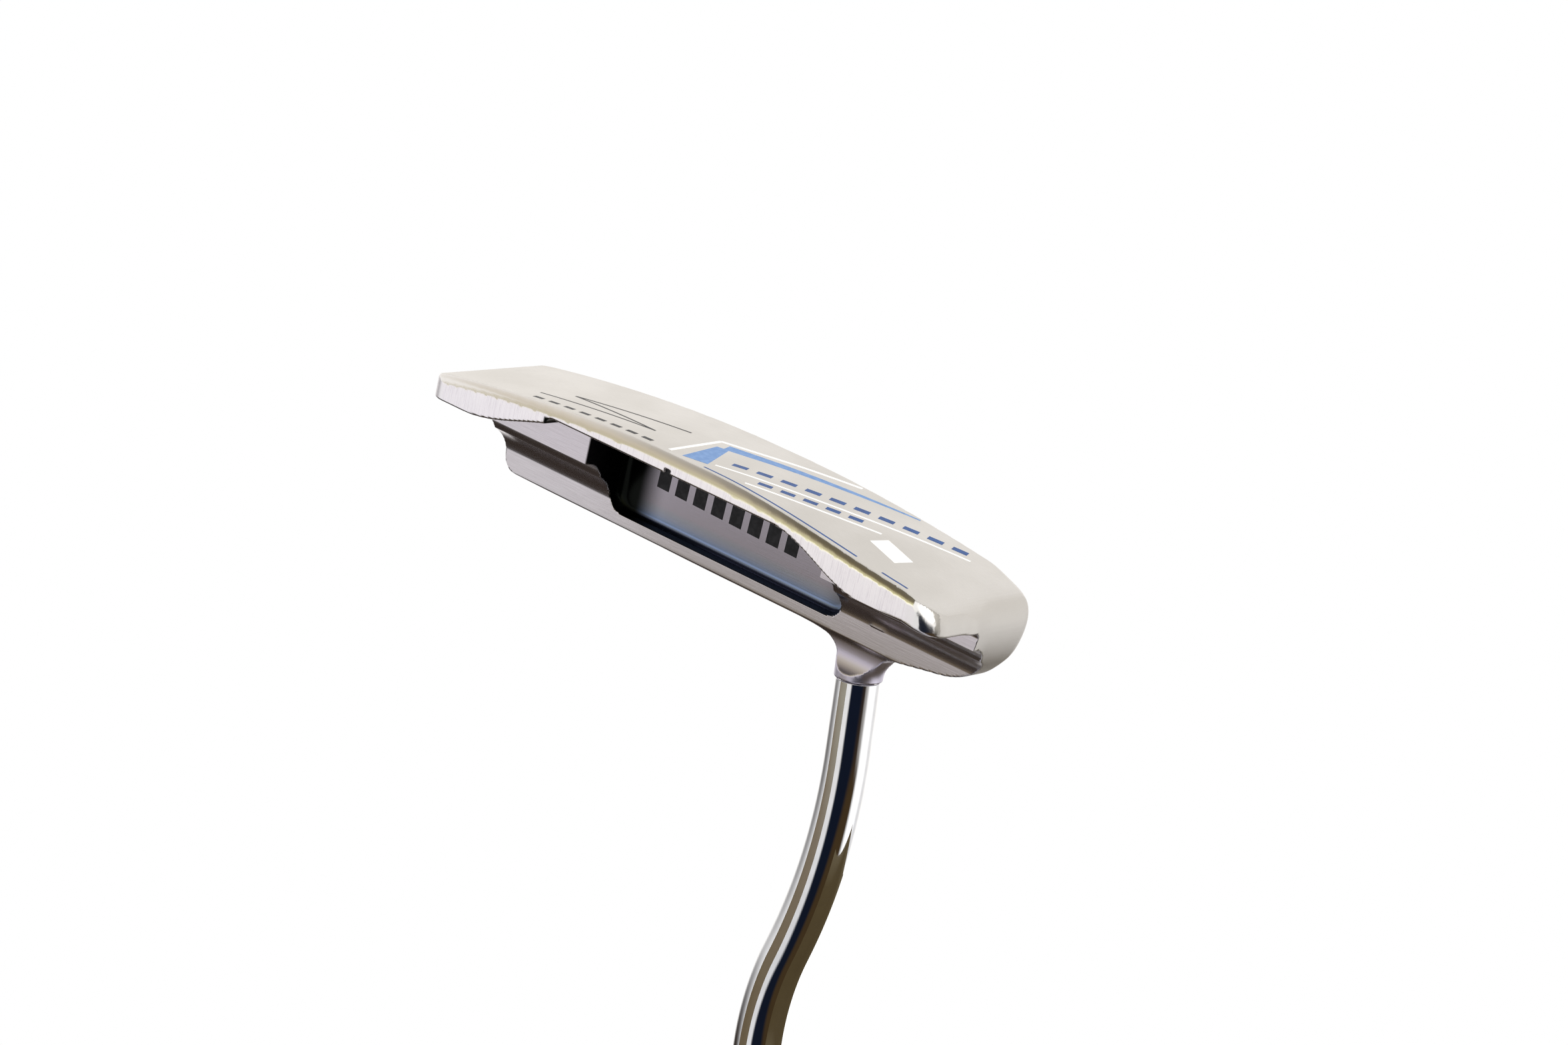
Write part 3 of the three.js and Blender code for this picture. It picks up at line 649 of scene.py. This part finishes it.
# ------------------------------------------------------------------ paint
def bar_mesh(p, q, width, lift, vertical=False):
    """A thin raised strip between two points, closed, following the sole or lying on the wall."""
    p, q = np.array(p, float), np.array(q, float)
    length = np.linalg.norm(q - p)
    d = (q - p) / length
    n = np.array([-d[1], d[0]])
    count = max(2, int(length / 0.8))
    profile = [(-1, 0.16), (-1, 0.02), (-0.92, 0.0), (0.92, 0.0), (1, 0.02), (1, 0.16)]
    verts = []
    for i in range(count + 1):
        c = p + d * length * i / count
        half = lerp(*width, i / count) / 2 if isinstance(width, tuple) else width / 2
        for u, sink in profile:
            verts.append((*(c + n * half * u), sink - lift))
    a, b, off = np.array(verts).T
    if vertical:
        verts = np.stack([a, P["wall"] + off, b], 1)
    else:
        verts = np.stack([a, b, sole_z(a, b) + off], 1)
    k = len(profile)
    faces = tube_faces(count + 1, k)
    faces += [tuple(range(k))[::-1], tuple(count * k + i for i in range(k))]
    return verts, faces


def paint(name, bars, material, vertical=False, lift=0.02):
    verts, faces = [], []
    for j, (p, q, w) in enumerate(bars):
        bv, bf = bar_mesh(p, q, w, lift + 0.002 * j, vertical)
        faces += [tuple(i + len(verts) for i in f) for f in bf]
        verts += bv.tolist()
    obj = new_object(name + "_fill", verts, faces, name, material, shade=False)
    return obj


def dashes(p, q, count, fill, width):
    p, q = np.array(p, float), np.array(q, float)
    return [(p + (q - p) * i / count, p + (q - p) * (i + fill) / count, width) for i in range(count)]


def strokes(points, width):
    return [(points[i], points[i + 1], width) for i in range(len(points) - 1)]


paint("paint_line_long", [((-4, -25.1), (-51.3, -5.5), 0.6)], WHITE)
paint("paint_line_short", [((-12.9, -26.6), (-37.8, -15.7), 0.6)], WHITE)
paint("paint_outline_white", strokes([(5.2, -28), (6.3, -12), (-21, -1.6)], 0.9), WHITE)
paint("paint_lozenge_white", [((-39.6, -18.4), (-47.6, -20.6), 4.2)], WHITE)
paint("pinstripe_long", [((-4.2, -28.5), (-42.8, -28.5), 0.5)], BLUE)
paint("pinstripe_short", [((-49, -28.5), (-55.2, -28.5), 0.5)], BLUE)
paint("paint_band_blue", [((-0.6, -27.2), (3, -15.2), (5.4, 2.6)), ((3.2, -13.9), (-35.5, -1.4), (3.2, 0.5))],
      LIGHT_BLUE)
paint("dashes_long_blue", dashes((-4.6, -20.8), (-50.8, -2.8), 10, 0.62, 1.7), BLUE)
paint("dashes_short_blue", dashes((-13.6, -23.6), (-34.4, -14.6), 5, 0.62, 1.5), BLUE)
paint("dashes_black", dashes((41.5, -27.4), (8.6, -27.4), 8, 0.6, 1.1), BLACK)
paint("flourish_black", strokes([(43.5, -23.6), (15, -21.4), (39, -18.4), (12, -14.4)], 0.5), BLACK)
paint("cavity_dashes_black", dashes((25.5, 14.6), (-13.5, 15.6), 8, 0.66, 4.4), BLACK, vertical=True)

for node, material in (("hosel_bond", EPOXY), ("grip_tape", TAPE), ("sight_line", BLACK)):
    part = bpy.data.objects.get(node)
    if part:
        part.data.materials.clear()
        part.data.materials.append(material)


# ------------------------------------------------------------------ stage
def stage_mesh(name, corners, material):
    mesh = bpy.data.meshes.new(name)
    mesh.from_pydata(corners, [], [tuple(range(len(corners)))])
    mesh.materials.append(material)
    obj = bpy.data.objects.new(name, mesh)
    bpy.context.scene.collection.objects.link(obj)
    return obj


def floor_material():
    """Pale and matt from above, clear from below, so that the sole can be seen."""
    mat = bpy.data.materials.new("floor")
    mat.use_nodes = True
    t = mat.node_tree
    t.nodes["Principled BSDF"].inputs["Base Color"].default_value = (0.86, 0.86, 0.86, 1)
    t.nodes["Principled BSDF"].inputs["Roughness"].default_value = 0.9
    clear = t.nodes.new("ShaderNodeBsdfTransparent")
    mix = t.nodes.new("ShaderNodeMixShader")
    ray = t.nodes.new("ShaderNodeLightPath")
    geo = t.nodes.new("ShaderNodeNewGeometry")
    front = t.nodes.new("ShaderNodeMath")
    front.operation = "SUBTRACT"
    front.use_clamp = True
    t.links.new(ray.outputs["Is Camera Ray"], front.inputs[0])
    t.links.new(geo.outputs["Backfacing"], front.inputs[1])
    t.links.new(front.outputs[0], mix.inputs[0])
    t.links.new(clear.outputs[0], mix.inputs[1])
    t.links.new(t.nodes["Principled BSDF"].outputs[0], mix.inputs[2])
    t.links.new(mix.outputs[0], t.nodes["Material Output"].inputs["Surface"])
    return mat


FLOOR_HALF, FLOOR_Z = 60.0, -0.0004      # metres


def level(x0, x1, y0, y1, z):
    return [(x0, y0, z), (x1, y0, z), (x1, y1, z), (x0, y1, z)]


stage_mesh("floor", level(-FLOOR_HALF, FLOOR_HALF, -FLOOR_HALF, FLOOR_HALF, FLOOR_Z), floor_material())


def world():
    w = bpy.data.worlds.new("studio")
    bpy.context.scene.world = w
    w.use_nodes = True
    t = w.node_tree
    for n in list(t.nodes):
        t.nodes.remove(n)
    tc = t.nodes.new("ShaderNodeTexCoord")
    nrm = t.nodes.new("ShaderNodeVectorMath")
    nrm.operation = "NORMALIZE"
    t.links.new(tc.outputs["Generated"], nrm.inputs[0])

    def mixed(factor, a, b):
        n = t.nodes.new("ShaderNodeMix")
        n.data_type = "RGBA"
        t.links.new(factor, n.inputs[0])
        if isinstance(a, tuple):
            n.inputs[6].default_value = a
        else:
            t.links.new(a, n.inputs[6])
        n.inputs[7].default_value = b
        return n.outputs[2]

    def spot(color, direction, inner, outer, tint, strength=1.0):
        """Blend towards a tint within an angle of a direction."""
        dot = t.nodes.new("ShaderNodeVectorMath")
        dot.operation = "DOT_PRODUCT"
        t.links.new(nrm.outputs[0], dot.inputs[0])
        dot.inputs[1].default_value = Vector(direction).normalized()
        r = t.nodes.new("ShaderNodeMapRange")
        r.interpolation_type = "SMOOTHSTEP"
        t.links.new(dot.outputs["Value"], r.inputs["Value"])
        r.inputs["From Min"].default_value = math.cos(math.radians(outer))
        r.inputs["From Max"].default_value = math.cos(math.radians(inner))
        r.inputs["To Max"].default_value = strength
        return mixed(r.outputs[0], color, tint)

    xyz = t.nodes.new("ShaderNodeSeparateXYZ")
    t.links.new(nrm.outputs[0], xyz.inputs[0])
    up = t.nodes.new("ShaderNodeMapRange")
    up.interpolation_type = "SMOOTHSTEP"
    t.links.new(xyz.outputs[2], up.inputs["Value"])
    up.inputs["From Min"].default_value = -0.25
    up.inputs["From Max"].default_value = 0.9
    color = mixed(up.outputs[0], (1.0, 0.985, 0.96, 1), (0.62, 0.63, 0.66, 1))
    color = spot(color, (0.60, -0.02, 0.80), 24, 42, (0.030, 0.020, 0.014, 1))
    color = spot(color, (-0.72, -0.63, 0.29), 31, 41, (0.006, 0.009, 0.019, 1))
    color = spot(color, (-0.80, -0.04, 0.60), 22, 36, (0.052, 0.032, 0.014, 1))
    color = spot(color, (-0.80, -0.25, -0.52), 16, 34, (1.35, 1.33, 1.30, 1))
    color = spot(color, (0.55, 0.80, 0.20), 20, 50, (1.15, 1.13, 1.10, 1))
    color = spot(color, (-0.80, 0.55, 0.25), 10, 30, (1.25, 1.25, 1.25, 1))
    lit = t.nodes.new("ShaderNodeBackground")
    t.links.new(color, lit.inputs["Color"])
    seen = t.nodes.new("ShaderNodeBackground")
    seen.inputs["Color"].default_value = (1.0, 1.0, 1.0, 1)
    ray = t.nodes.new("ShaderNodeLightPath")
    mix = t.nodes.new("ShaderNodeMixShader")
    t.links.new(ray.outputs["Is Camera Ray"], mix.inputs[0])
    t.links.new(lit.outputs[0], mix.inputs[1])
    t.links.new(seen.outputs[0], mix.inputs[2])
    out = t.nodes.new("ShaderNodeOutputWorld")
    t.links.new(mix.outputs[0], out.inputs[0])


world()


def card(name, corners, along, lo, hi, heel, toe, x0, x1):
    """A glowing reflector seen only in mirror-like surfaces; its colour runs along one axis with one
    ramp at the heel end and another at the toe end."""
    mat = bpy.data.materials.new(name)
    mat.use_nodes = True
    t = mat.node_tree
    t.nodes.remove(t.nodes["Principled BSDF"])
    e = t.nodes.new("ShaderNodeEmission")
    tc = t.nodes.new("ShaderNodeTexCoord")
    s = t.nodes.new("ShaderNodeSeparateXYZ")
    t.links.new(tc.outputs["Object"], s.inputs[0])

    def span(axis_index, a, b):
        r = t.nodes.new("ShaderNodeMapRange")
        t.links.new(s.outputs[axis_index], r.inputs["Value"])
        r.inputs["From Min"].default_value = a
        r.inputs["From Max"].default_value = b
        return r.outputs[0]

    mix = t.nodes.new("ShaderNodeMix")
    mix.data_type = "RGBA"
    t.links.new(span(0, x0, x1), mix.inputs[0])
    place = span(along, lo, hi)
    for socket, stops in ((6, heel), (7, toe)):
        ramp = t.nodes.new("ShaderNodeValToRGB")
        t.links.new(place, ramp.inputs[0])
        els = ramp.color_ramp.elements
        for el, (at, rgb) in zip((els[0], els[1]), (stops[0], stops[-1])):
            el.position, el.color = at, (*rgb, 1)
        for at, rgb in stops[1:-1]:
            els.new(at).color = (*rgb, 1)
        t.links.new(ramp.outputs[0], mix.inputs[socket])
    t.links.new(mix.outputs[2], e.inputs["Color"])
    t.links.new(e.outputs[0], t.nodes["Material Output"].inputs["Surface"])
    obj = stage_mesh(name, corners, mat)
    obj.visible_camera = False
    obj.visible_diffuse = False
    obj.visible_shadow = False
    obj.visible_transmission = False


def upright(x0, x1, y, z0, z1):
    return [(x0, y, z0), (x1, y, z0), (x1, y, z1), (x0, y, z1)]


card("card_rear", upright(-0.03, 0.15, -0.105, 0.018, 0.0605), 2, 0.02, 0.068,
     [(0.2, (0.90, 0.87, 0.88)), (0.5, (0.80, 0.77, 0.80)), (0.9, (0.74, 0.72, 0.74))],
     [(0.2, (0.97, 0.94, 0.99)), (0.55, (0.78, 0.76, 0.80)), (0.9, (1.10, 1.07, 1.13))], 0.0, 0.12)
SHADE = [(0.0, (0.36, 0.34, 0.28)), (0.35, (0.22, 0.18, 0.13)), (0.7, (0.15, 0.115, 0.068)),
         (1.0, (0.15, 0.11, 0.07))]
BROWN = [(0.0, (0.16, 0.13, 0.08)), (0.12, (0.085, 0.062, 0.03)), (1.0, (0.06, 0.042, 0.018))]
card("card_shaft", upright(-0.01, 0.115, -0.105, 0.061, 0.21), 2, 0.061, 0.21, SHADE, SHADE, 0.0, 0.115)
card("card_heel", [(-0.25, -0.05, 0.167), (-0.25, 0.25, 0.185), (-0.25, 0.25, 0.6), (-0.25, -0.05, 0.6)],
     2, 0.152, 0.6, BROWN, BROWN, -0.3, 0.0)
card("card_front", upright(-0.25, 0.05, 0.25, 0.185, 0.6), 2, 0.165, 0.6, BROWN, BROWN, -0.3, 0.0)
card("card_edge", upright(-0.04, 0.15, -0.107, -0.062, 0.0175), 2, -0.062, 0.0175,
     [(0.0, (0.40, 0.35, 0.19)), (0.42, (0.70, 0.65, 0.38)), (0.72, (1.15, 1.12, 0.78)),
      (1.0, (1.25, 1.2, 1.05))],
     [(0.0, (0.61, 0.54, 0.42)), (0.42, (0.58, 0.52, 0.38)), (0.8, (0.56, 0.51, 0.36)),
      (1.0, (0.8, 0.77, 0.7))],
     0.0, 0.09)
card("card_low", level(-0.04, 0.15, -0.107, 0.012, -0.062), 1, -0.107, 0.012,
     [(0.0, (0.40, 0.35, 0.19)), (0.2, (0.21, 0.175, 0.09)), (0.45, (0.14, 0.115, 0.07)),
      (0.8, (0.15, 0.13, 0.09)), (0.95, (0.32, 0.30, 0.25)), (1.0, (0.75, 0.72, 0.66))],
     [(0.0, (0.61, 0.54, 0.42)), (0.4, (0.70, 0.64, 0.54)), (0.8, (0.80, 0.76, 0.70)),
      (1.0, (0.9, 0.87, 0.82))],
     0.0, 0.09)


def area(name, place, target, size, power):
    lamp = bpy.data.lights.new(name, "AREA")
    lamp.shape = "DISK"
    lamp.size = size
    lamp.energy = power
    obj = bpy.data.objects.new(name, lamp)
    obj.location = place
    obj.rotation_euler = (Vector(target) - Vector(place)).to_track_quat("-Z", "Y").to_euler()
    obj.visible_glossy = False
    bpy.context.scene.collection.objects.link(obj)


area("key", (-0.9, -1.2, 1.9), (-0.1, 0, 0.3), 1.2, 14)
area("low", (-0.5, -0.6, -1.4), (0, 0, 0), 1.4, 10)

# ------------------------------------------------------------------ camera
CAMERA_PLACE = Vector((-0.38910, -0.50254, -0.17782))
CAMERA_RIGHT = Vector((-0.7366, 0.64106, -0.21556)).normalized()
CAMERA_FORWARD = Vector((0.57929, 0.7625, 0.28812)).normalized()
CAMERA_DOWN_HINT = Vector((-0.34907, -0.08736, 0.93302))

cam = bpy.data.cameras.new("camera")
cam.sensor_width = 36
cam.lens = 79.38
cam.clip_start = 0.01
cam_obj = bpy.data.objects.new("camera", cam)
down = CAMERA_FORWARD.cross(CAMERA_RIGHT).normalized()
if down.dot(CAMERA_DOWN_HINT) < 0:
    down = -down
pose = Matrix.Identity(4)
for column, axis_v in enumerate((CAMERA_RIGHT, -down, -CAMERA_FORWARD)):
    for row in range(3):
        pose[row][column] = axis_v[row]
pose.translation = CAMERA_PLACE
cam_obj.matrix_world = pose
bpy.context.scene.collection.objects.link(cam_obj)
bpy.context.scene.camera = cam_obj
bpy.context.scene.view_settings.view_transform = "Standard"
